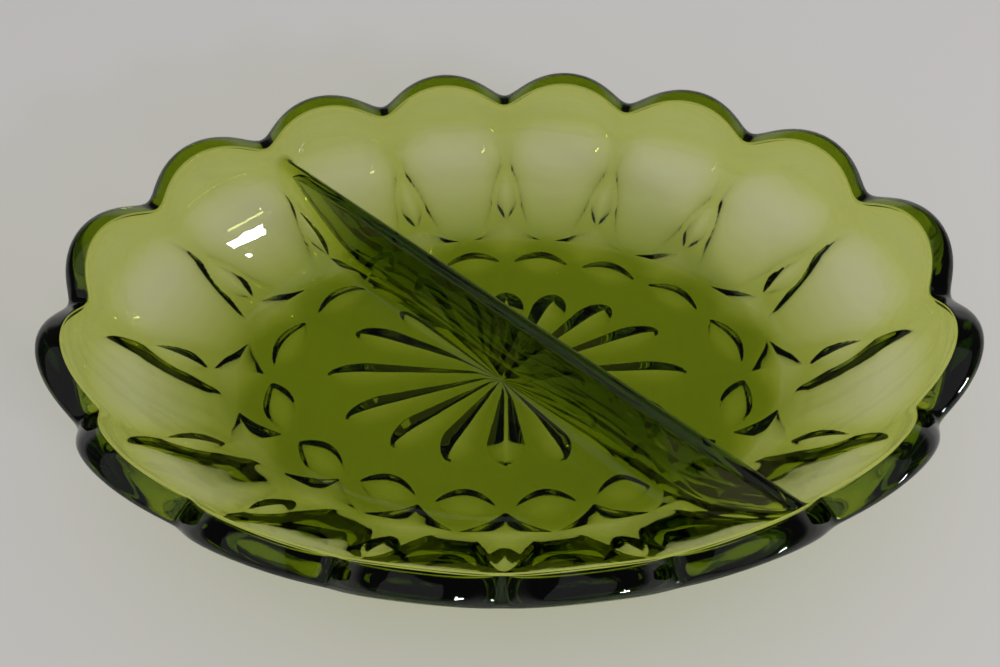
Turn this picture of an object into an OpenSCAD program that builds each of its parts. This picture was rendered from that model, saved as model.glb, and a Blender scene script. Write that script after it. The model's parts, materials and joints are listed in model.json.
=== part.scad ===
// Oval divided dish, one pressing of clear olive green glass: a flat floor with a star and
// lens cuts beneath, a heel, a leaning wall with thumbprints, a scalloped rim and a diagonal divider.
// Origin at the middle of the resting face, X along the length, Z up.

/* [Bowl] */
// Half length over the notches between the scallops
notch_half_length = 112; // [100:1:126]
// Half width over the notches between the scallops
notch_half_width = 75.5; // [68:0.5:84]
// Height of the notches above the resting face
notch_height = 42.5; // [38:0.5:48]
// Half length of the flat underside
foot_half_length = 74; // [68:1:80]
// Half width of the flat underside
foot_half_width = 45; // [41:0.5:49]
// Radius of the curve between the underside and the wall
heel_radius = 13; // [11:0.5:16]
// Rise of the wall from level where the heel ends, in degrees
heel_end_angle = 52; // [48:1:56]
// Rise of the wall from level at the notches, in degrees
notch_angle = 78; // [70:1:84]

/* [Glass] */
// Thickness of the floor
floor_thickness = 8; // [6.5:0.25:9]
// Thickness that the wall would reach at the notches without its flare
wall_thickness = 4.8; // [4.4:0.1:6]
// Thickness of the rim across its flat top
rim_thickness = 7; // [6:0.1:7.6]
// Length of the flare up the wall, where it thickens to the rim
rim_flare = 12; // [9:0.5:14]

/* [Scallops] */
// Number of scallops around the rim
scallops = 16; // [12:4:20]
// Height of a scallop above its notches, along the wall
scallop_rise = 7.8; // [5:0.2:10]
// Roundness of each notch, along the rim
notch_softness = 3.4; // [1:0.2:5]
// Depth of the plain band under the edge
rim_band = 7; // [6:0.25:9]
// Radius of the rim's outer corner
outer_corner = 2.6; // [1.2:0.1:3]
// Radius of the rim's inner corner
inner_corner = 0.6; // [0.4:0.1:1]

/* [Wall cuts] */
// Width of the large thumbprints at their middle, as a share of the scallops' pitch
thumbprint_width_share = 0.96; // [0.8:0.02:1]
// Width of the large thumbprints on the heel, as a share of the scallops' pitch
thumbprint_foot_share = 0.72; // [0.5:0.02:0.8]
// Height of a thumbprint's round top, from edge to edge if it were a whole oval
thumbprint_height = 29; // [24:0.5:30]
// Depth of the large thumbprints
thumbprint_depth = 3.7; // [1.6:0.1:4]
// Plain glass between a thumbprint and the edge of its scallop
thumbprint_top_margin = 16; // [14:0.5:20]
// Distance of a thumbprint's lower end from the flat underside
thumbprint_foot_margin = 4; // [1:0.5:6]
// Distance of an olive cut's lower tip from the flat underside
olive_start = 11.8; // [9:0.2:14]
// Length of an olive cut up the wall
olive_length = 17; // [14:0.5:20]
// Width of an olive cut
olive_width = 8.4; // [6:0.2:10]
// Depth of an olive cut
olive_depth = 2.6; // [1.6:0.1:3.2]
// Distance of the deepest spot of the diamonds on the heel from the flat underside
diamond_middle = 4; // [3:0.2:6]
// Distance from a diamond's deepest spot to its upper tip
diamond_above = 7.8; // [5:0.2:8]
// Depth of the diamonds
diamond_depth = 3.4; // [1:0.1:3.8]

/* [Floor cuts] */
// Length of the lens cuts around the floor
lens_length = 18; // [12:0.5:20]
// Width of the lens cuts
lens_width = 9.4; // [7:0.2:9.4]
// Depth of the lens cuts
lens_depth = 2.4; // [1:0.1:3]
// Distance of the ring of lens cuts from the edge of the underside, at its ends
lens_inset_along = 7; // [6:0.1:8]
// Distance of the ring of lens cuts from the edge of the underside, at its sides
lens_inset_across = 4.8; // [4.8:0.1:6.4]
// Number of rays in the star
rays = 16; // [8:4:20]
// Half length of the star
star_half_length = 52; // [40:0.5:57]
// Half width of the star
star_half_width = 28.5; // [24:0.5:32]
// Width of the longest rays
long_ray_width = 7.6; // [5:0.2:8]
// Width of the shortest rays
short_ray_width = 10.6; // [8:0.2:11]
// Depth of the shortest rays
short_ray_depth = 3.9; // [2:0.1:4.2]
// Plain middle of the star, from its centre to where the rays begin
ray_start = 2; // [1.5:0.25:5]

/* [Divider] */
// Thickness of the divider at its top
divider_top_thickness = 4; // [3:0.1:5]
// Thickness of the divider where its foot fillet begins
divider_foot_thickness = 6.6; // [5.5:0.1:8]
// Distance of the divider's top below the notches
divider_drop = 4.4; // [3:0.2:9]
// Radius of the fillet between the divider and the floor
divider_fillet = 3; // [1:0.25:5]

/* [Hidden] */
glass_green = [0.43, 0.49, 0.12];

// Grid of the faceted skins
columns_per_scallop = 12;
columns = scallops * columns_per_scallop;
heel_rows = 5;
wall_rows = 9;
band_rows = 2;
corner_rows = 3;
ellipse_steps = 720;
radian = 180 / PI;

// Fullness of the cuts, and the place of a ray's widest spot along it
thumbprint_fullness = 3.8;
olive_fullness = 1.3;
diamond_fullness = 1.8;
ray_shoulder_share = 0.78;

// Fall of the rim's top towards the bowl, against the slope of the wall
lip_fall = tan(90 - notch_angle) * 3 / 4;

// Side view of the outer face: a heel arc, then a flatter arc up the wall
heel_length = heel_radius * heel_end_angle / radian;
heel_out = heel_radius * sin(heel_end_angle);
heel_up = heel_radius * (1 - cos(heel_end_angle));
wall_radius = (notch_height - heel_up) / (cos(heel_end_angle) - cos(notch_angle));
notch_length = heel_length + wall_radius * (notch_angle - heel_end_angle) / radian;
notch_out = heel_out + wall_radius * (sin(notch_angle) - sin(heel_end_angle));

// Steepness of the outer face at a distance up from the flat underside
function steepness(up) = up < heel_length
    ? radian * up / heel_radius
    : heel_end_angle + radian * (up - heel_length) / wall_radius;
function out_at(up) = up < heel_length
    ? heel_radius * sin(steepness(up))
    : heel_out + wall_radius * (sin(steepness(up)) - sin(heel_end_angle));
function height_at(up) = up < heel_length
    ? heel_radius * (1 - cos(steepness(up)))
    : heel_up + wall_radius * (cos(heel_end_angle) - cos(steepness(up)));

// Notches, lens cuts and rays lie at equal steps along ellipses, so arc lengths are summed
function ellipse(half, angle) = [half.x * cos(angle), half.y * sin(angle)];
function arc_table(half) = [for (step = 0, run = 0; step <= ellipse_steps;
    run = run + norm(ellipse(half, (step + 1) * 360 / ellipse_steps)
        - ellipse(half, step * 360 / ellipse_steps)),
    step = step + 1) [run, step * 360 / ellipse_steps]];
function angle_on(table, turn) = lookup(turn * table[ellipse_steps][0], table);
notch_half = [notch_half_length, notch_half_width];
notch_table = arc_table(notch_half);
notch_pitch = notch_table[ellipse_steps][0] / scallops;
function angle_at(turn) = angle_on(notch_table, turn);

// A scallop is an arc over one pitch, eased into the notches
scallop_radius = (pow(notch_pitch / 2, 2) + pow(scallop_rise, 2)) / (2 * scallop_rise);
function eased(along) = (sqrt(pow(along, 2) + pow(notch_softness, 2)) - notch_softness)
    * notch_pitch / 2 / (sqrt(pow(notch_pitch / 2, 2) + pow(notch_softness, 2)) - notch_softness);
function across(turn) = abs(turn * scallops - round(turn * scallops));
function scallop_at(turn) = sqrt(pow(scallop_radius, 2)
    - pow(notch_pitch / 2 - eased(across(turn) * notch_pitch), 2)) - scallop_radius + scallop_rise;
function edge_at(turn) = notch_length + scallop_at(turn);

// The wall thins from the floor up, and thickens again where it nears the edge
function wall_at(up) = floor_thickness
    + (wall_thickness - floor_thickness) * min(1, up / notch_length);
function thickness_at(turn, up) = wall_at(up) + (rim_thickness - wall_at(up))
    * pow(max(0, min(1, 1 - (edge_at(turn) - up) / rim_flare)), 2);

// Pitch of the scallops at a distance up from the flat underside
function pitch_at(up) = notch_pitch * (foot_half_length + foot_half_width
    + (notch_half_length + notch_half_width - foot_half_length - foot_half_width)
    * out_at(up) / notch_out) / (notch_half_length + notch_half_width);

// Depth of the cuts in the outer face
thumbprint_above = thumbprint_height / 2;
thumbprint_middle = notch_length + scallop_rise - thumbprint_top_margin - thumbprint_above;
thumbprint_below = thumbprint_middle - thumbprint_foot_margin;
function thumbprint_share(up) = thumbprint_foot_share + (thumbprint_width_share - thumbprint_foot_share)
    * max(0, min(1, (up - heel_length) / (thumbprint_middle - heel_length)));
function thumbprint(turn, up) = thumbprint_depth * (1
    - pow((1 - 2 * across(turn)) / thumbprint_share(up), thumbprint_fullness)
    - pow((up - thumbprint_middle)
        / (up > thumbprint_middle ? thumbprint_above : thumbprint_below), 2));
function olive_outline(up) = 1 - pow(2 * (up - olive_start) / olive_length - 1, 2);
function olive(turn, up) = olive_outline(up) <= 0 ? 0 : olive_depth * olive_outline(up) * (1
    - pow(2 * across(turn) * pitch_at(up) / (olive_width * olive_outline(up)), olive_fullness));
function diamond(turn, up) = diamond_depth * (1 - pow(2 * across(turn)
    + abs(up - diamond_middle) / (up > diamond_middle ? diamond_above : diamond_middle),
    diamond_fullness));
function cut_depth(turn, up) = max(0, thumbprint(turn, up), olive(turn, up), diamond(turn, up));

// A point in the glass, at a turn around the rim, a distance up the outer face and a depth into it
function place(turn, up, depth) = let (
    angle = angle_at(turn),
    outward = [notch_half_width * cos(angle), notch_half_length * sin(angle)],
    spread = out_at(up) / notch_out,
    half_length = foot_half_length + (notch_half_length - foot_half_length) * spread,
    half_width = foot_half_width + (notch_half_width - foot_half_width) * spread,
    shift = depth * sin(steepness(up)) / norm(outward))
    [half_length * cos(angle) - shift * outward.x,
     half_width * sin(angle) - shift * outward.y,
     height_at(up) + depth * cos(steepness(up))];
function outside(turn, up) = place(turn, up, cut_depth(turn, up));
function inside(turn, up) = place(turn, up, thickness_at(turn, up));

// The rim's top is nearly level, with a round outer corner and a crisp inner one
lip_height = outer_corner + inner_corner + lip_fall * rim_thickness;

// Heights of the rows of each skin, all following the scalloped edge above the heel
function wall_top(turn) = edge_at(turn) - rim_band;
function heel_ups(turn) = [for (row = [0 : heel_rows]) heel_length * row / heel_rows];
function wall_ups(turn) = [for (row = [0 : wall_rows])
    heel_length + (wall_top(turn) - heel_length) * row / wall_rows];
function band_ups(turn) = [for (row = [0 : band_rows])
    wall_top(turn) + (rim_band - lip_height) * row / band_rows];
function lip_point(turn, depth, corner, roll) =
    place(turn, edge_at(turn) - lip_fall * depth - corner * (1 - sin(roll)), depth);
function lip(turn) = concat(
    [for (row = [0 : corner_rows]) let (roll = 90 * row / corner_rows)
        lip_point(turn, outer_corner * (1 - cos(roll)), outer_corner, roll)],
    [for (row = [0 : corner_rows]) let (roll = 90 + 90 * row / corner_rows)
        lip_point(turn, rim_thickness - inner_corner * (1 + cos(roll)), inner_corner, roll)]);
function reversed(list) = [for (i = [len(list) - 1 : -1 : 0]) list[i]];
function section(turn, ups, end) = concat(
    [for (up = ups) outside(turn, up)], end, [for (up = reversed(ups)) inside(turn, up)]);

// Triangles of a skin that runs round a section and from column to column
function quad(a, b, c, d, flip) = flip ? [[a, b, d], [b, c, d]] : [[a, b, c], [a, c, d]];
module skin(sections, closed) {
    rows = len(sections[0]);
    count = len(sections);
    sides = [for (c = [0 : count - (closed ? 1 : 2)]) for (r = [0 : rows - 1])
        let (next = (c + 1) % count, above = (r + 1) % rows)
        each quad(c * rows + r, c * rows + above, next * rows + above, next * rows + r,
            r == rows - 1)];
    caps = closed ? [] : [for (c = [0, count - 1]) for (r = [0 : rows / 2 - 2])
        let (low = c * rows + r, far = c * rows + rows - 1 - r)
        each (c == 0
            ? [[low, far - 1, low + 1], [low, far, far - 1]]
            : [[low, low + 1, far - 1], [low, far - 1, far]])];
    polyhedron([for (points = sections) each points], concat(sides, caps), convexity = 8);
}

// The divider runs between two opposite notches, three eighths of the rim round from the X axis
divider_turn = round(scallops * 3 / 8) / scallops;
divider_end = ellipse(notch_half, angle_at(divider_turn));
divider_angle = atan2(divider_end.y, divider_end.x);
divider_height = notch_height - divider_drop;
divider_reach = norm(divider_end);
end_columns = 5;
skirt = floor_thickness / 2;

// Ovals on which the lens cuts and the tips of the rays lie
lens_half = [foot_half_length - lens_inset_along, foot_half_width - lens_inset_across];
lens_table = arc_table(lens_half);
star_half = [star_half_length, star_half_width];
star_table = arc_table(star_half);

// The flat oval floor, with a ring of lens cuts and a star cut into its underside
module floor() {
    color(glass_green)
    difference() {
        linear_extrude(height = floor_thickness)
            polygon([for (c = [0 : columns - 1]) let (corner = place(c / columns, 0, 0))
                [corner.x, corner.y]]);
        for (k = [0 : scallops - 1]) lens_cutter((k + 0.5) / scallops);
        for (k = [0 : rays - 1]) ray_cutter(angle_on(star_table, k / rays));
    }
}

// Cutter of one lens cut: a barrel lying along the edge, mostly below the floor
module lens_cutter(turn) {
    angle = angle_on(lens_table, turn);
    spot = ellipse(lens_half, angle);
    heading = atan2(lens_half.x * sin(angle), lens_half.y * cos(angle));
    barrel_radius = (pow(lens_width / 2, 2) + pow(lens_depth, 2)) / (2 * lens_depth);
    sink = barrel_radius - lens_depth;
    steps = 8;
    translate([spot.x, spot.y, -sink]) rotate([0, 0, heading]) rotate([90, 0, 0])
        rotate_extrude($fn = 96)
            polygon(concat([[0, -lens_length / 2]],
                [for (i = [0 : steps]) let (along = 2 * i / steps - 1)
                    [sink + lens_depth * (1 - pow(along, 2)), along * lens_length / 2]],
                [[0, lens_length / 2]]));
}

// Cutter of one ray: a leaf with straight sides that meet in a ridge, mostly below the floor
module ray_cutter(angle) {
    tip = ellipse(star_half, angle);
    reach = norm(tip);
    half = (long_ray_width + (short_ray_width - long_ray_width) * pow(sin(angle), 2)) / 2;
    depth = short_ray_depth * 2 * half / short_ray_width;
    shoulder = reach * ray_shoulder_share;
    steps = 6;
    leaf = concat([[ray_start - shoulder, 0]], [for (i = [0 : steps]) let (roll = 180 * i / steps)
        [(reach - shoulder) * sin(roll), -half * cos(roll)]]);
    corners = len(leaf);
    rotate([0, 0, atan2(tip.y, tip.x)]) translate([shoulder, 0, 0])
        polyhedron(concat([for (point = leaf) [2 * point.x, 2 * point.y, -depth]], [[0, 0, depth]]),
            concat([[for (i = [0 : corners - 1]) i]],
                [for (i = [0 : corners - 1]) [(i + 1) % corners, i, corners]]));
}

// The curve between floor and wall, with a row of diamond cuts outside
module heel() {
    color(glass_green)
    skin([for (c = [0 : columns - 1]) section(c / columns, heel_ups(c / columns), [])], true);
}

// Half of the wall, from one end of the divider to the other
module half_wall(first_turn) {
    first = round(first_turn * columns);
    color(glass_green)
    skin([for (c = [first : first + columns / 2]) let (turn = (c % columns) / columns)
        section(turn, wall_ups(turn), [])], false);
}

// Wall of the compartment in front of the divider
module front_wall() {
    half_wall(divider_turn);
}

// Wall of the compartment behind the divider
module back_wall() {
    half_wall(divider_turn + 0.5);
}

// The scalloped rim, a plain band with a round edge
module rim() {
    color(glass_green)
    skin([for (c = [0 : columns - 1]) let (turn = c / columns)
        section(turn, band_ups(turn), lip(turn))], true);
}

// Space that the wall takes up at one end of the divider
module wall_end(turn_middle) {
    middle = round(turn_middle * columns);
    skin([for (c = [middle - end_columns : middle + end_columns]) let (
        turn = ((c + columns) % columns) / columns,
        face = concat(
            reversed([for (up = band_ups(turn)) inside(turn, up)]),
            reversed([for (i = [0 : wall_rows - 1]) inside(turn, wall_ups(turn)[i])]),
            reversed([for (i = [0 : heel_rows - 1]) inside(turn, heel_ups(turn)[i])])),
        low = face[len(face) - 1],
        foot = [low.x, low.y, low.z - skirt],
        top = face[0],
        full = concat([[top.x, top.y, top.z + skirt]], face, [foot]),
        outward = [cos(divider_angle), sin(divider_angle), 0]
            * (turn_middle < 0.5 ? divider_reach : -divider_reach))
        concat(full, [for (point = reversed(full)) point + outward])], false);
}

// The divider, a tapered wall across the dish with a round top and a filleted foot
module divider() {
    half_top = divider_top_thickness / 2;
    half_foot = divider_foot_thickness / 2;
    steps = 6;
    right = concat(
        [for (i = [0 : steps]) let (roll = 90 * i / steps)
            [half_foot + divider_fillet * (1 - sin(roll)),
             floor_thickness + divider_fillet * (1 - cos(roll))]],
        [for (i = [0 : steps]) let (roll = 90 * i / steps)
            [half_top * cos(roll), divider_height - half_top * (1 - sin(roll))]]);
    left = [for (i = [len(right) - 2 : -1 : 0]) [-right[i].x, right[i].y]];
    color(glass_green)
    difference() {
        rotate([0, 0, divider_angle]) translate([-divider_reach, 0, 0]) rotate([90, 0, 90])
            linear_extrude(height = 2 * divider_reach) polygon(concat(right, left));
        wall_end(divider_turn);
        wall_end(divider_turn + 0.5);
    }
}

floor();
heel();
front_wall();
back_wall();
rim();
divider();
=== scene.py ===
import json

import bpy
import numpy as np
from mathutils import Matrix, Vector


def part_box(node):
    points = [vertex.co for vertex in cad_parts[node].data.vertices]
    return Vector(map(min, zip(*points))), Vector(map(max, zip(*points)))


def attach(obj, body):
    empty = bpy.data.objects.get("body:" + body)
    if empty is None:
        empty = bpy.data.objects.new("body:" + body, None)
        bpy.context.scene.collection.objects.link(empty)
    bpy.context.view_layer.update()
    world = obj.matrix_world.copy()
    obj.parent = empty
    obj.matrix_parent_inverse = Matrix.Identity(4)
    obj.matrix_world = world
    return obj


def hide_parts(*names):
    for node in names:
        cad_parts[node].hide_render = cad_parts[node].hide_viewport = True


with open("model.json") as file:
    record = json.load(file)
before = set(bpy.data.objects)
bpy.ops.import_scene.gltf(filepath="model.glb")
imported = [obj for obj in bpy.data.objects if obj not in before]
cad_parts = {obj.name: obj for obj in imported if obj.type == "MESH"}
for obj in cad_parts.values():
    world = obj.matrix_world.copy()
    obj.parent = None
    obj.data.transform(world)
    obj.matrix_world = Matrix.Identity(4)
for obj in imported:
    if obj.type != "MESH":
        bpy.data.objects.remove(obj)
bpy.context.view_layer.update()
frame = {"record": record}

# The bowl: the side view of the outside, as the mould leaves it. A flat oval foot rolls up through a
# heel into a leaning wall. The sizes are millimetres, and the foot and floor come from the frame.
MM = 0.001
foot_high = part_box("floor")[1]
foot_half_length = foot_high.x / MM
foot_half_width = foot_high.y / MM
floor_thickness = foot_high.z / MM
notch_half_length = 111.9
notch_half_width = 75.45
notch_height = 42.5
heel_radius = 13
heel_end = np.radians(52)
notch_lean = np.radians(78)
wall_thickness = 4.8
rim_thickness = 7
rim_flare = 12

heel_length = heel_radius * heel_end
heel_out = heel_radius * np.sin(heel_end)
heel_up = heel_radius * (1 - np.cos(heel_end))
wall_radius = (notch_height - heel_up) / (np.cos(heel_end) - np.cos(notch_lean))
notch_length = heel_length + wall_radius * (notch_lean - heel_end)
notch_out = heel_out + wall_radius * (np.sin(notch_lean) - np.sin(heel_end))


def steepness(up):
    return np.where(up < heel_length, np.maximum(up, 0) / heel_radius,
                    heel_end + (up - heel_length) / wall_radius)


def out_at(up):
    lean = steepness(up)
    wall = heel_out + wall_radius * (np.sin(lean) - np.sin(heel_end))
    return np.where(up < heel_length, heel_radius * np.sin(lean), wall)


def height_at(up):
    lean = steepness(up)
    wall = heel_up + wall_radius * (np.cos(heel_end) - np.cos(lean))
    return np.where(up < heel_length, heel_radius * (1 - np.cos(lean)), wall)


# The scalloped edge: sixteen arcs between notches at equal steps round the rim, each eased into its
# notches. The ring that closes the mould forms it, and a flame rounds it afterwards.
SCALLOPS = 16
scallop_rise = 7.8
notch_softness = 3.4
AROUND_POINTS = 2881

around = np.linspace(0, 2 * np.pi, AROUND_POINTS)


def arc_lengths(half_length, half_width):
    """Running length of an ellipse's arc, at each angle of around."""
    ellipse = np.stack([half_length * np.cos(around), half_width * np.sin(around)], -1)
    return np.concatenate([[0], np.cumsum(np.linalg.norm(np.diff(ellipse, axis=0), axis=1))])


run = arc_lengths(notch_half_length, notch_half_width)
notch_pitch = run[-1] / SCALLOPS
half_pitch = notch_pitch / 2
scallop_radius = (half_pitch ** 2 + scallop_rise ** 2) / (2 * scallop_rise)


def angle_at(turn):
    whole = np.floor(turn)
    return np.interp((turn - whole) * run[-1], run, around) + 2 * np.pi * whole


def across(turn):
    """0 at a notch, 0.5 at the middle of a scallop."""
    return np.abs(turn * SCALLOPS - np.round(turn * SCALLOPS))


def edge_at(turn):
    ease = (np.hypot(across(turn) * notch_pitch, notch_softness) - notch_softness)
    ease = ease * half_pitch / (np.hypot(half_pitch, notch_softness) - notch_softness)
    return notch_length + np.sqrt(scallop_radius ** 2 - (half_pitch - ease) ** 2) \
        - scallop_radius + scallop_rise


def thickness_at(turn, up):
    """The wall thins from the floor up, and thickens again where it nears the edge."""
    wall = floor_thickness + (wall_thickness - floor_thickness) * np.clip(up / notch_length, 0, 1)
    flare = np.clip(1 - (edge_at(turn) - up) / rim_flare, 0, 1)
    return wall + (rim_thickness - wall) * flare ** 2


def place(turn, up, depth):
    """A point in the glass: a turn round the rim, a distance up the outer face, a depth into it."""
    angle = angle_at(turn)
    outward = np.stack([notch_half_width * np.cos(angle), notch_half_length * np.sin(angle)], -1)
    outward /= np.linalg.norm(outward, axis=-1, keepdims=True)
    spread = out_at(up) / notch_out
    half_length = foot_half_length + (notch_half_length - foot_half_length) * spread
    half_width = foot_half_width + (notch_half_width - foot_half_width) * spread
    shift = depth * np.sin(steepness(up))
    return np.stack([half_length * np.cos(angle) - shift * outward[..., 0],
                     half_width * np.sin(angle) - shift * outward[..., 1],
                     height_at(up) + depth * np.cos(steepness(up))], -1)


# The cuts outside: large round thumbprints, pointed olives between them, a row of diamonds over the
# heel, lenses and a star under the floor. The iron mould presses them in, and the flame softens them.
TINY = 1e-4
soft_edge = 0.12
thumbprint_share = 0.96
thumbprint_foot_share = 0.72
thumbprint_height = 29
thumbprint_depth = 3.7
thumbprint_fullness = 3.8
thumbprint_top_margin = 16
thumbprint_foot_margin = 4
olive_start = 11.8
olive_length = 17
olive_width = 8.4
olive_depth = 2.6
olive_fullness = 1.3
diamond_tip = 4
diamond_above = 7.8
diamond_below = 7.8
diamond_depth = 3.4
diamond_fullness = 1.8
lens_length = 18
lens_width = 9.4
lens_depth = 2.4
lens_fullness = 2.2
lens_half_length = 67
lens_half_width = 40.2
RAYS = 16
star_half_length = 52
star_half_width = 28.5
long_ray_width = 7.6
short_ray_width = 10.6
ray_side_rise = 0.75
ray_shoulder_share = 0.78
vee_softness = 0.3


def soft_max(a, b, blend):
    near = np.maximum(blend - np.abs(a - b), 0) / blend
    return np.maximum(a, b) + near ** 2 * blend / 4


def vee(along, beside, half_width, depth, fullness):
    """Depth of a pointed oval cut, along from -1 to 1, with straight sides that meet in a valley."""
    outline = np.maximum(1 - along ** 2, TINY)
    return depth * outline * (1 - (np.abs(beside) / (half_width * outline)) ** fullness)


def pitch_at(up):
    foot = foot_half_length + foot_half_width
    notch = notch_half_length + notch_half_width
    return notch_pitch * (foot + (notch - foot) * out_at(up) / notch_out) / notch


def wall_cut(turn, up):
    """Depth of the cuts in the outer face. Below zero, up runs inward under the flat foot."""
    across_cut = across(turn) * pitch_at(up)
    middle = notch_length + scallop_rise - thumbprint_top_margin - thumbprint_height / 2
    reach = np.where(up > middle, thumbprint_height / 2, middle - thumbprint_foot_margin)
    widening = np.clip((up - heel_length) / (middle - heel_length), 0, 1)
    sideways = (1 - 2 * across(turn)) / (
        thumbprint_foot_share + (thumbprint_share - thumbprint_foot_share) * widening)
    thumbprint = thumbprint_depth * (1 - sideways ** thumbprint_fullness - ((up - middle) / reach) ** 2)
    along_olive = 2 * (up - olive_start) / olive_length - 1
    olive = vee(along_olive, across_cut, olive_width / 2, olive_depth, olive_fullness)
    rise = (up - diamond_tip) / np.where(up > diamond_tip, diamond_above, diamond_below)
    diamond = diamond_depth * (1 - (2 * across(turn) + np.abs(rise)) ** diamond_fullness)
    depth = soft_max(thumbprint, 0, soft_edge)
    depth = soft_max(depth, olive, soft_edge)
    return soft_max(depth, diamond, soft_edge)


def floor_cut(x, y):
    """Depth of the lenses and the star under the flat foot."""
    depth = np.zeros_like(x)
    lens_run = arc_lengths(lens_half_length, lens_half_width)
    for k in range(SCALLOPS):
        angle = np.interp((k + 0.5) * lens_run[-1] / SCALLOPS, lens_run, around)
        spot = np.array([lens_half_length * np.cos(angle), lens_half_width * np.sin(angle)])
        heading = np.arctan2(lens_half_width * np.cos(angle), -lens_half_length * np.sin(angle))
        along = ((x - spot[0]) * np.cos(heading) + (y - spot[1]) * np.sin(heading)) / (lens_length / 2)
        beside = (y - spot[1]) * np.cos(heading) - (x - spot[0]) * np.sin(heading)
        lens = vee(along, beside, lens_width / 2, lens_depth, lens_fullness)
        depth = soft_max(depth, lens, soft_edge)
    star_run = arc_lengths(star_half_length, star_half_width)
    for k in range(RAYS):
        angle = np.interp(k * star_run[-1] / RAYS, star_run, around)
        tip = np.array([star_half_length * np.cos(angle), star_half_width * np.sin(angle)])
        reach = np.linalg.norm(tip)
        share = (x * tip[0] + y * tip[1]) / reach ** 2
        beside = (y * tip[0] - x * tip[1]) / reach
        past = (share - ray_shoulder_share) / (1 - ray_shoulder_share)
        outline = np.where(past < 0, share / ray_shoulder_share, np.sqrt(np.maximum(1 - past ** 2, 0)))
        outline = np.maximum(outline, TINY)
        half = (long_ray_width + (short_ray_width - long_ray_width) * np.sin(angle) ** 2) / 2
        ray = ray_side_rise * (half * outline + vee_softness - np.hypot(beside, vee_softness))
        depth = soft_max(depth, ray, soft_edge / 2)
    return depth


# The divider: a straight wall across the dish, between two opposite notches. The plunger's slot forms
# it in the same pressing, tapered so that it lets go, with a round top and a fillet all round.
DIVIDER_TURN = 3 / 8
divider_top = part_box("divider")[1].z / MM
divider_half_top = 2
divider_half_foot = 3.3
foot_fillet = 3.4
top_fillet = 1.5
HALVINGS = 40

divider_end = place(np.array(DIVIDER_TURN), np.array(notch_length), 0)
divider_way = np.array(divider_end[:2]) / np.linalg.norm(divider_end[:2])


def beside_divider(points):
    return points[..., 1] * divider_way[0] - points[..., 0] * divider_way[1]


def blend_divider(points, lean):
    """Lifts points of the bowl's inner face onto the divider, with a round fillet between the two."""
    beside = np.abs(beside_divider(points))
    near = beside < divider_half_foot + foot_fillet
    side, base, fall = beside[near], points[near, 2], np.cos(lean[near])
    round_up = divider_top - divider_half_top
    taper = (divider_half_foot - divider_half_top) / (round_up - floor_thickness - foot_fillet)

    def outside_by(z):
        bowl = (z - base) * fall
        flank = side - divider_half_foot + taper * (z - floor_thickness - foot_fillet)
        divider = np.where(z > round_up, np.hypot(side, z - round_up) - divider_half_top, flank)
        share = np.clip((z - floor_thickness) / (divider_top - floor_thickness), 0, 1)
        fillet = foot_fillet + (top_fillet - foot_fillet) * share
        return np.maximum(fillet, np.minimum(bowl, divider)) - np.hypot(
            np.maximum(fillet - bowl, 0), np.maximum(fillet - divider, 0))

    low, high = base.copy(), np.maximum(base, divider_top) + foot_fillet
    for _ in range(HALVINGS):
        middle = (low + high) / 2
        inside = outside_by(middle) < 0
        low, high = np.where(inside, middle, low), np.where(inside, high, middle)
    lifted = points.copy()
    lifted[near, 2] = np.where(high - base > TINY, high, base)
    return lifted


# The pressing: one closed skin over the whole dish. Its columns run up the outside, over the lip and
# down the inside, drawn together where the divider's edges are, and the inner floor joins them up.
HALF_BLOCK = 110
COLUMNS = 800
HEEL_ROWS = 26
WALL_ROWS = 56
LIP_ROWS = 8
FLAT_ROWS = 8
UNDER_ROWS = 24
STAR_ROWS = 72
block_margin = 14
block_half_length = foot_half_length - block_margin
block_half_width = foot_half_width - block_margin

outer_corner = 2.6
outer_reach = 4.2
inner_corner = 0.6
lip_fall = 0.16

TOP_LINES = 7
FLANK_LINES = 9
FILLET_LINES = 8
GATHER_LINES = 7
gather_width = 5.2
gather_growth = 1.15
top_roll = np.linspace(0, np.pi / 2, TOP_LINES)[1:-1]
gather = gather_width * np.linspace(0, 1, GATHER_LINES)[1:] ** gather_growth
near_beside = np.concatenate([
    [0], divider_half_top * np.sin(top_roll),
    np.linspace(divider_half_top, divider_half_foot, FLANK_LINES),
    divider_half_foot + foot_fillet * np.linspace(0, 1, FILLET_LINES)[1:],
    divider_half_foot + foot_fillet + gather])
NEAR = len(near_beside) - 1
near_beside = np.concatenate([-near_beside[:0:-1], near_beside])


def inner_row(turn, share):
    """A row of the inner face, from 1 just under the lip to 0 where the flat floor begins."""
    up = share * (edge_at(turn) - inner_corner - lip_fall * rim_thickness)
    return place(turn, up, thickness_at(turn, up)), steepness(up)


def flat_row(turn, share):
    """An oval on the flat floor, from 1 where the heel begins to 0 at the middle block."""
    angle = angle_at(turn)
    half_length = block_half_length + (foot_half_length - block_half_length) * share
    half_width = block_half_width + (foot_half_width - block_half_width) * share
    flat = np.full_like(angle, floor_thickness)
    return np.stack([half_length * np.cos(angle), half_width * np.sin(angle), flat], -1), 0 * angle


SEARCH_TURN = 0.09
SEARCH_STEPS = 1201


def turns_beside_divider(row, share):
    """The turns at which a row crosses the lines that run beside the divider."""
    turn = DIVIDER_TURN + np.linspace(-SEARCH_TURN, SEARCH_TURN, SEARCH_STEPS)
    return np.interp(near_beside, beside_divider(row(turn, share)[0]), turn)


near_turns = turns_beside_divider(inner_row, 1)
between = np.linspace(near_turns[-1], near_turns[0] + 0.5, COLUMNS // 2 - 2 * NEAR + 1)
half_turns = np.concatenate([near_turns[NEAR:], between[1:-1], near_turns[:NEAR] + 0.5])
turns = np.concatenate([half_turns, half_turns + 0.5])


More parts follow.
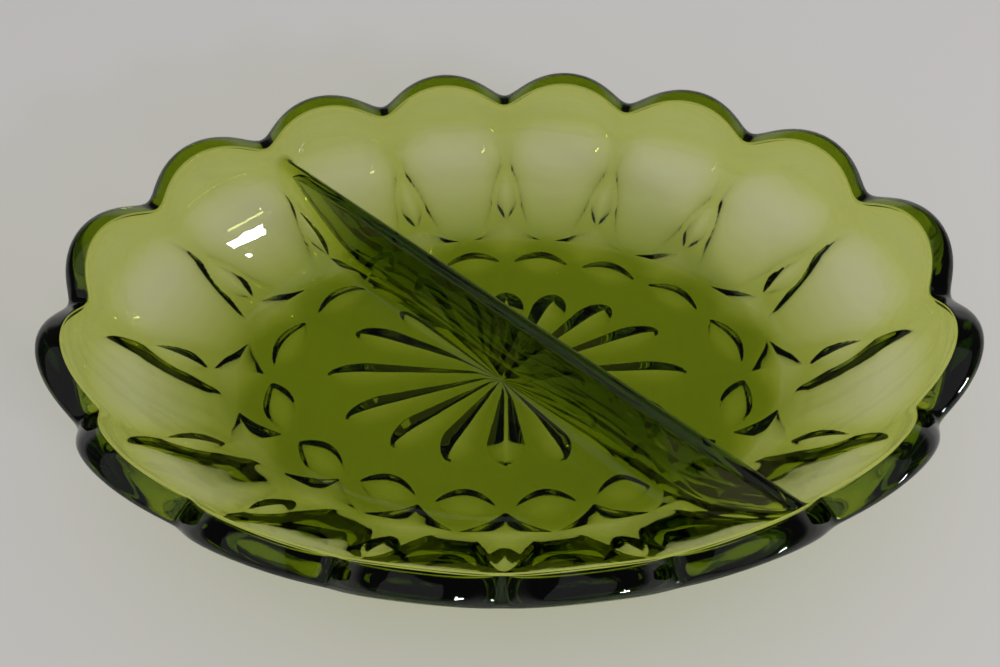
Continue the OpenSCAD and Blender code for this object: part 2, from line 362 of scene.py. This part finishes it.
def drawn_together(row, share):
    """The columns' turns on an inner row, moved to run beside the divider at both its ends."""
    shift = turns_beside_divider(row, share) - near_turns
    step = np.arange(COLUMNS // 4 + 1)
    fade = np.clip((step - NEAR) / (COLUMNS // 4 - NEAR), 0, 1)
    fade = 1 - fade ** 2 * (3 - 2 * fade)
    ahead = np.where(step <= NEAR, shift[np.minimum(NEAR + step, 2 * NEAR)], shift[-1] * fade)
    behind = np.where(step <= NEAR, shift[np.maximum(NEAR - step, 0)], shift[0] * fade)
    half = np.concatenate([ahead[:-1], behind[:0:-1]])
    return turns + np.concatenate([half, half])


def middle_block(ring):
    """Fills the innermost oval with lines that run beside the divider, and bulge towards the rim."""
    steps = COLUMNS // 2 - 2 * HALF_BLOCK
    along = np.linspace(0, 1, steps + 1)[:, None]
    lines = []
    for line in range(-HALF_BLOCK, HALF_BLOCK + 1):
        way = 1 if line > 0 else -1
        start, end = ring[line % COLUMNS], ring[(COLUMNS // 2 - line) % COLUMNS]
        side = ring[(way * (HALF_BLOCK + np.arange(steps + 1))) % COLUMNS]
        bulge = side - (side[0] * (1 - along) + side[-1] * along)
        share = np.clip((abs(line) - NEAR) / (HALF_BLOCK - NEAR), 0, 1)
        lines.append(start * (1 - along) + end * along + bulge * share ** 2 * (3 - 2 * share))
    return np.array(lines)


class Skin:
    """Collects the points and faces of one mesh, a ring or a grid at a time."""

    def __init__(self):
        self.points, self.faces, self.count = [], [], 0

    def add(self, points):
        self.points.append(points.reshape(-1, 3))
        self.count += points.size // 3
        return np.arange(self.count - points.size // 3, self.count).reshape(points.shape[:-1])

    def join(self, lower, upper):
        """Faces between two rings of as many points."""
        self.faces.append(np.stack([lower, np.roll(lower, -1), np.roll(upper, -1), upper], -1))

    def halve(self, outer, inner):
        """Faces between a ring and one of half as many points."""
        even, odd, nxt = outer[::2], outer[1::2], np.roll(outer[::2], -1)
        ahead = np.roll(inner, -1)
        self.faces.append(np.stack([even, inner, odd, odd], -1))
        self.faces.append(np.stack([odd, inner, ahead, ahead], -1))
        self.faces.append(np.stack([odd, ahead, nxt, nxt], -1))

    def grid(self, index):
        self.faces.append(np.stack([index[:-1, :-1], index[1:, :-1], index[1:, 1:], index[:-1, 1:]],
                                   -1).reshape(-1, 4))


skin = Skin()

# Under the floor, from the foot's edge to the star's middle
edge_ring = None
previous = None
for row in range(UNDER_ROWS + 1):
    inset = (foot_half_length - block_half_length) * row / UNDER_ROWS
    angle = angle_at(turns)
    x = (foot_half_length - inset) * np.cos(angle)
    y = (foot_half_width - inset) * np.sin(angle)
    depth = soft_max(wall_cut(turns, -inset + 0 * turns), floor_cut(x, y), soft_edge)
    ring = skin.add(np.stack([x, y, depth], -1))
    if previous is None:
        edge_ring = ring
    else:
        skin.join(ring, previous)
    previous = ring
star_turns = turns
for row in range(1, STAR_ROWS + 1):
    share = 1 - row / (STAR_ROWS + 1)
    halved = row in (STAR_ROWS // 2, STAR_ROWS * 3 // 4, STAR_ROWS * 7 // 8)
    if halved:
        star_turns = star_turns[::2]
    angle = angle_at(star_turns)
    x = block_half_length * share * np.cos(angle)
    y = block_half_width * share * np.sin(angle)
    ring = skin.add(np.stack([x, y, floor_cut(x, y)], -1))
    if halved:
        skin.halve(previous, ring)
    else:
        skin.join(ring, previous)
    previous = ring
centre = skin.add(np.zeros((1, 3)))
tip = np.full(len(previous), centre[0])
skin.faces.append(np.stack([previous, tip, tip, np.roll(previous, -1)], -1))

# Up the outside, over the lip
previous = edge_ring
lip_start = edge_at(turns) - outer_corner
for row in range(1, HEEL_ROWS + WALL_ROWS + 1):
    if row <= HEEL_ROWS:
        up = heel_length * row / HEEL_ROWS + 0 * turns
    else:
        up = heel_length + (lip_start - heel_length) * (row - HEEL_ROWS) / WALL_ROWS
    ring = skin.add(place(turns, up, wall_cut(turns, up)))
    skin.join(previous, ring)
    previous = ring
for row in range(1, 2 * LIP_ROWS + 1):
    outer = row <= LIP_ROWS
    roll = np.pi / 2 * (row if outer else row - 1) / LIP_ROWS
    corner = outer_corner if outer else inner_corner
    into = (outer_reach * (1 - np.cos(roll)) if outer
            else rim_thickness - inner_corner * (1 + np.cos(roll)))
    up = edge_at(turns) - corner * (1 - np.sin(roll)) - lip_fall * into
    ring = skin.add(place(turns, up, into))
    skin.join(previous, ring)
    previous = ring

# Down the inside and over the divider
for row in range(HEEL_ROWS + WALL_ROWS, 0, -2):
    share = row / (HEEL_ROWS + WALL_ROWS)
    points, lean = inner_row(drawn_together(inner_row, share), share)
    ring = skin.add(blend_divider(points, lean))
    skin.join(previous, ring)
    previous = ring
for row in range(FLAT_ROWS, -1, -1):
    share = row / FLAT_ROWS
    flat, lean = flat_row(drawn_together(flat_row, share), share)
    ring = skin.add(blend_divider(flat, lean))
    skin.join(previous, ring)
    previous = ring
block = middle_block(flat)
block = blend_divider(block, 0 * block[..., 0])
lines = np.arange(-HALF_BLOCK, HALF_BLOCK + 1)
steps = np.arange(1, COLUMNS // 2 - 2 * HALF_BLOCK)
index = np.empty(block.shape[:2], int)
index[:, 0] = previous[lines % COLUMNS]
index[:, -1] = previous[(COLUMNS // 2 - lines) % COLUMNS]
index[-1, 1:-1] = previous[HALF_BLOCK + steps]
index[0, 1:-1] = previous[(-HALF_BLOCK - steps) % COLUMNS]
index[1:-1, 1:-1] = skin.add(block[1:-1, 1:-1])
skin.grid(index)


def build_mesh(name, skin):
    points = np.concatenate(skin.points) * MM
    quads = np.concatenate(skin.faces)
    single = quads[:, 2] == quads[:, 3]
    doubled = quads[:, 1] == quads[:, 2]
    faces = [quads[~single & ~doubled].tolist(), quads[single][:, :3].tolist(),
             quads[doubled][:, [0, 1, 3]].tolist()]
    mesh = bpy.data.meshes.new(name)
    mesh.from_pydata(points.tolist(), [], faces[0] + faces[1] + faces[2])
    mesh.validate()
    mesh.shade_smooth()
    piece = bpy.data.objects.new(name, mesh)
    bpy.context.collection.objects.link(piece)
    return piece


dish = build_mesh("pressed_glass_dish", skin)


# The glass: olive green soda-lime glass, pressed in iron and fire polished. The colour is in the
# depth of the glass, so thick places look dark, and the skin is bright with the faint waves that a
# mould leaves. The light that falls through it colours the shadow green.
def linear(code):
    """The linear colour of an sRGB hex value."""
    parts = [int(code[i:i + 2], 16) / 255 for i in (0, 2, 4)]
    return [c / 12.92 if c <= 0.04045 else ((c + 0.055) / 1.055) ** 2.4 for c in parts]


def node(tree, kind, settings=None, **links):
    """Adds a node, sets its values and links its inputs, where _ in a name stands for a space."""
    made = tree.nodes.new(kind)
    for key, value in (settings or {}).items():
        if hasattr(made, key):
            setattr(made, key, value)
        else:
            made.inputs[key].default_value = value
    for key, source in links.items():
        tree.links.new(source, made.inputs[key.replace("_", " ")])
    return made


def new_material(name):
    made = bpy.data.materials.new(name)
    made.use_nodes = True
    made.node_tree.nodes.clear()
    return made, made.node_tree


GLASS_IOR = 1.52
depth_tint = "e3ea45"
tint_per_metre = 280
mould_wave = 9
wave_height = 0.2
polish_ripple = 2.2
ripple_height = 0.02

glass, tree = new_material("olive_pressed_glass")
coordinates = node(tree, "ShaderNodeTexCoord").outputs["Object"]
waves = node(tree, "ShaderNodeTexNoise", {"Scale": 1 / (mould_wave * MM), "Detail": 1},
             Vector=coordinates).outputs["Fac"]
ripple = node(tree, "ShaderNodeTexNoise", {"Scale": 1 / (polish_ripple * MM), "Detail": 2},
              Vector=coordinates).outputs["Fac"]
wavy = node(tree, "ShaderNodeBump", {"Strength": 0.5, "Distance": wave_height * MM},
            Height=waves).outputs["Normal"]
rippled = node(tree, "ShaderNodeBump", {"Strength": 0.3, "Distance": ripple_height * MM},
               Height=ripple, Normal=wavy).outputs["Normal"]
polish = node(tree, "ShaderNodeMapRange", {"From Min": 0.35, "From Max": 0.75, "To Min": 0,
                                           "To Max": 0.03}, Value=ripple).outputs["Result"]
body = node(tree, "ShaderNodeBsdfGlass", {"Color": (1, 1, 1, 1), "IOR": GLASS_IOR},
            Roughness=polish, Normal=rippled).outputs["BSDF"]
depth_colour = node(tree, "ShaderNodeVolumeAbsorption",
                    {"Color": (*linear(depth_tint), 1), "Density": tint_per_metre}).outputs["Volume"]
light_path = node(tree, "ShaderNodeLightPath")
straight = node(tree, "ShaderNodeMath", {"operation": "MAXIMUM"})
tree.links.new(light_path.outputs["Is Shadow Ray"], straight.inputs[0])
tree.links.new(light_path.outputs["Is Diffuse Ray"], straight.inputs[1])
clear = node(tree, "ShaderNodeBsdfTransparent", {"Color": (0.93, 0.93, 0.93, 1)}).outputs["BSDF"]
surface = node(tree, "ShaderNodeMixShader", Fac=straight.outputs[0])
tree.links.new(body, surface.inputs[1])
tree.links.new(clear, surface.inputs[2])
node(tree, "ShaderNodeOutputMaterial", Surface=surface.outputs[0], Volume=depth_colour)

dish.data.materials.append(glass)
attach(dish, "root")
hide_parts(*[part["node"] for part in frame["record"]["subparts"]])

# The table: a plain pale grey board that the dish stands on. It isn't part of the dish. It is matt, so
# it shows the dish's soft shadow and no mirror picture.
table_half = 20
table_drop = 0.2 * MM
board = bpy.data.meshes.new("table_board")
board.from_pydata([(-table_half, -table_half, -table_drop), (table_half, -table_half, -table_drop),
                   (table_half, table_half, -table_drop), (-table_half, table_half, -table_drop)],
                  [], [(0, 1, 2, 3)])
table_top = bpy.data.objects.new("table_board", board)
bpy.context.collection.objects.link(table_top)
matt, tree = new_material("matt_board")
paper = node(tree, "ShaderNodeBsdfDiffuse", {"Color": (*linear("b7b5b4"), 1)}).outputs["BSDF"]
node(tree, "ShaderNodeOutputMaterial", Surface=paper)
board.materials.append(matt)


# The light: a soft box at the front right and a small one over it, which give the sharp highlights,
# and a large soft one overhead. The room lights the board evenly. What the eye and the glass see of
# it is a pale backdrop, up to a low angle, and a dark ceiling over that.
def soft_box(name, azimuth, elevation, distance, width, height, power):
    lamp = bpy.data.lights.new(name, "AREA")
    lamp.shape = "RECTANGLE"
    lamp.size = width
    lamp.size_y = height
    lamp.energy = power
    made = bpy.data.objects.new(name, lamp)
    turn, rise = np.radians([azimuth, elevation])
    way = Vector((np.sin(turn) * np.cos(rise), np.cos(turn) * np.cos(rise), np.sin(rise)))
    made.location = way * distance
    made.rotation_euler = way.to_track_quat("Z", "Y").to_euler()
    bpy.context.collection.objects.link(made)


soft_box("front_light", azimuth=131, elevation=25, distance=1.3, width=0.26, height=0.08, power=6.2)
soft_box("side_light", azimuth=126, elevation=31, distance=1.3, width=0.05, height=0.05, power=0.5)
soft_box("top_light", azimuth=195, elevation=64, distance=1.6, width=2.6, height=2.6, power=5.4)
backdrop_top = 8
ceiling_start = 24
room = bpy.data.worlds.new("grey_room")
room.use_nodes = True
room.node_tree.nodes.clear()
light = node(room.node_tree, "ShaderNodeBackground", {"Color": (*linear("efeeee"), 1)}).outputs[0]
direction = node(room.node_tree, "ShaderNodeTexCoord").outputs["Generated"]
height = node(room.node_tree, "ShaderNodeSeparateXYZ", Vector=direction).outputs["Z"]
upward = node(room.node_tree, "ShaderNodeMapRange", {
    "interpolation_type": "SMOOTHSTEP", "From Min": np.sin(np.radians(backdrop_top)),
    "From Max": np.sin(np.radians(ceiling_start))}, Value=height).outputs["Result"]
backdrop = node(room.node_tree, "ShaderNodeBackground", {"Color": (*linear("b5b4b3"), 1)}).outputs[0]
ceiling = node(room.node_tree, "ShaderNodeBackground", {"Color": (*linear("3f3f40"), 1)}).outputs[0]
seen = node(room.node_tree, "ShaderNodeMixShader", Fac=upward)
room.node_tree.links.new(backdrop, seen.inputs[1])
room.node_tree.links.new(ceiling, seen.inputs[2])
path = node(room.node_tree, "ShaderNodeLightPath").outputs["Is Diffuse Ray"]
sky = node(room.node_tree, "ShaderNodeMixShader", Fac=path)
room.node_tree.links.new(seen.outputs[0], sky.inputs[1])
room.node_tree.links.new(light, sky.inputs[2])
node(room.node_tree, "ShaderNodeOutputWorld", Surface=sky.outputs[0])
bpy.context.scene.world = room

# The camera: where the photograph was taken from, found from the dish's outline and its notches.
lens = 28.8
film_width = 36
camera_rise, camera_turn, camera_roll = np.radians([57.92, 2.83, -2.83])
camera_away = 0.24436
aim = Vector((-0.002, 0.01607, 0))

camera = bpy.data.objects.new("camera", bpy.data.cameras.new("camera"))
camera.data.lens = lens
camera.data.sensor_width = film_width
camera.data.clip_start = 0.01
back = Vector((np.sin(camera_turn) * np.cos(camera_rise),
               -np.cos(camera_turn) * np.cos(camera_rise), np.sin(camera_rise)))
level = (-back).cross(Vector((0, 0, 1))).normalized()
upright = back.cross(level)
axes = Matrix((level, upright, back)).transposed() @ Matrix.Rotation(float(camera_roll), 3, "Z")
camera.matrix_world = Matrix.Translation(aim + back * camera_away) @ axes.to_4x4()
bpy.context.collection.objects.link(camera)
bpy.context.scene.camera = camera
bpy.context.scene.view_settings.view_transform = "Standard"
